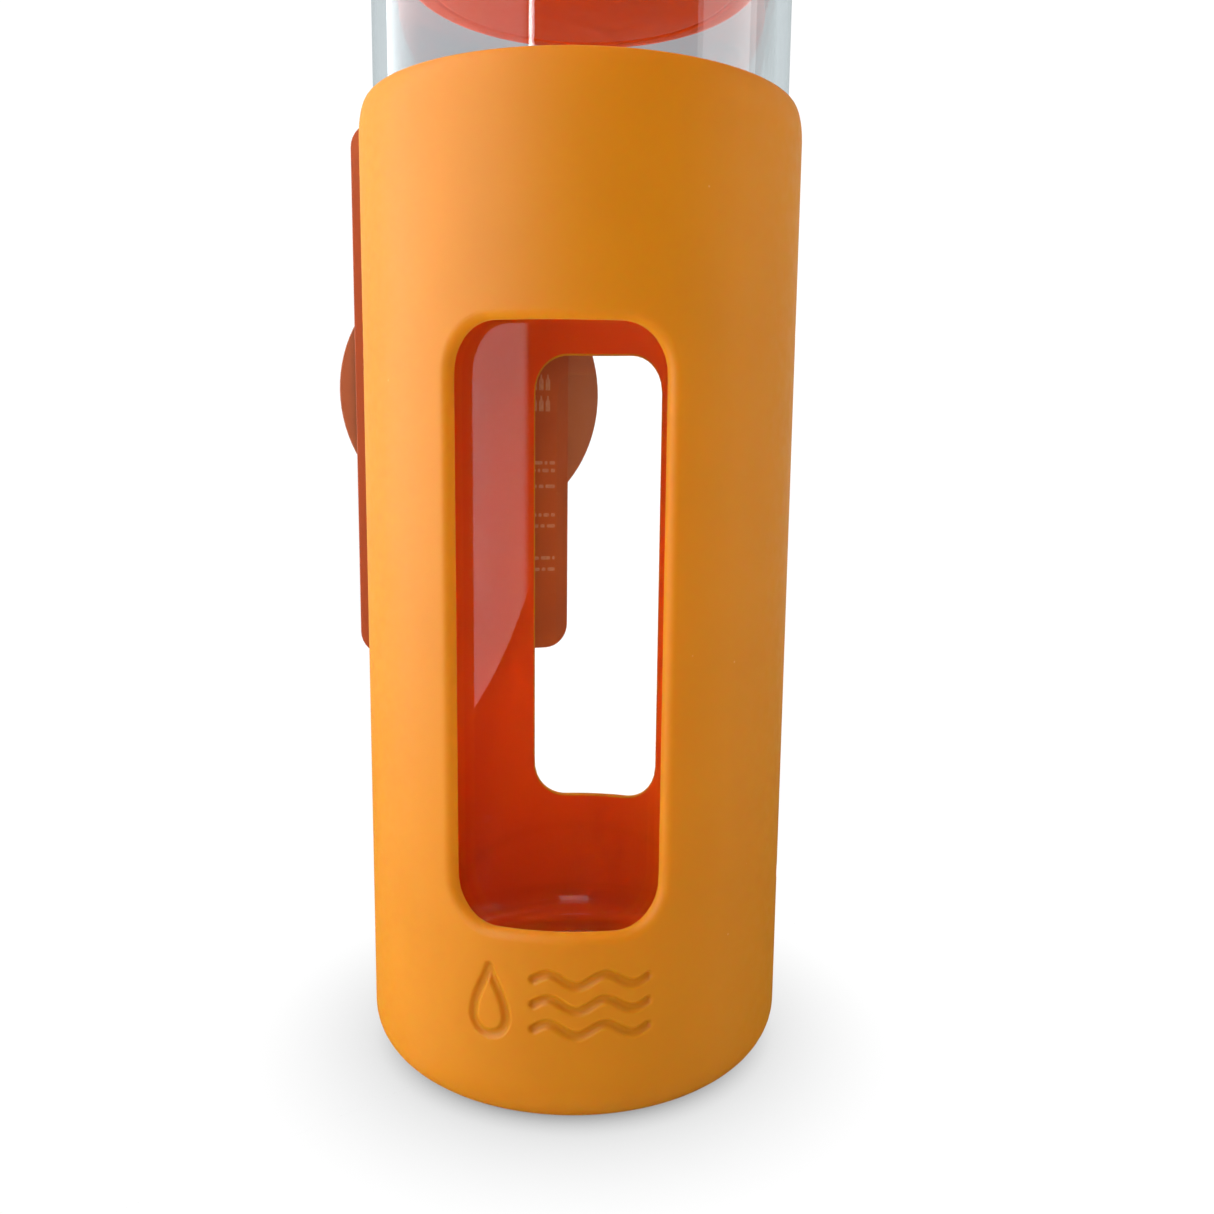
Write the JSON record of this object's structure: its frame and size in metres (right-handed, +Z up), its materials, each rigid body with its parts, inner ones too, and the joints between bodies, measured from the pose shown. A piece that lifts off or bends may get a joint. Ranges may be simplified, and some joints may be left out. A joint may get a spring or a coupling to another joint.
{
  "type": "glass drinking bottle",
  "caption": "Clear glass drinking bottle in a windowed silicone sleeve, with a plugged screw lid, a folding carry loop and a card tag behind.",
  "frame": {"origin": "centre of the sleeve's flat base, on the bottle's axis", "axes": "+Z up along the bottle's axis; the front window faces -Y; +X is to the right seen from the front"},
  "size_m": [0.087, 0.0814, 0.2197],
  "materials": {
    "glass": "clear, polished",
    "sleeve": "satin orange silicone",
    "lid": "glossy moulded orange",
    "loop": "satin moulded orange",
    "seal": "translucent silicone",
    "pin": "turned stainless",
    "card": "printed board, satin varnish",
    "glue": "clear adhesive foam"
  },
  "bodies": {
    "sleeve": {"silicone_sleeve": "sleeve", "tag_card": "card", "tag_disc": "card", "tag_disc_pad": "glue", "tag_dot_lower": "glue", "tag_dot_upper": "glue"},
    "bottle": {"glass_bottle": "glass"},
    "rim_seal": {"rim_gasket": "seal"},
    "plug_seal": {"plug_seal_ring": "seal"},
    "lid": {"lid_shell": "lid", "lid_liner": "lid", "lid_cover": "lid", "loop_pin_left": "pin", "loop_pin_right": "pin"},
    "loop": {"carry_loop": "loop"}
  },
  "joints": [
    {"name": "bottle_lift_out", "type": "slide", "parent": "sleeve", "child": "bottle", "axis": [0, 0, 1], "range_m": [0, 0.165]},
    {"name": "lid_lift_off", "type": "slide", "parent": "bottle", "child": "rim_seal", "axis": [0, 0, 1], "range_m": [0, 0.06]},
    {"name": "lid_rise", "type": "slide", "parent": "rim_seal", "child": "plug_seal", "axis": [0, 0, 1], "range_m": [0, 0.005]},
    {"name": "lid_turn", "type": "hinge", "parent": "plug_seal", "child": "lid", "pos_m": [0, 0, 0.2], "axis": [0, 0, 1], "range_deg": [0, 450]},
    {"name": "loop_swing", "type": "hinge", "parent": "lid", "child": "loop", "pos_m": [0, 0, 0.2148], "axis": [1, 0, 0], "range_deg": [0, 180]}
  ],
  "couplings": [
    {"joint": "lid_rise", "follows": "lid_turn", "m_per_rad": 0.00063661}
  ]
}
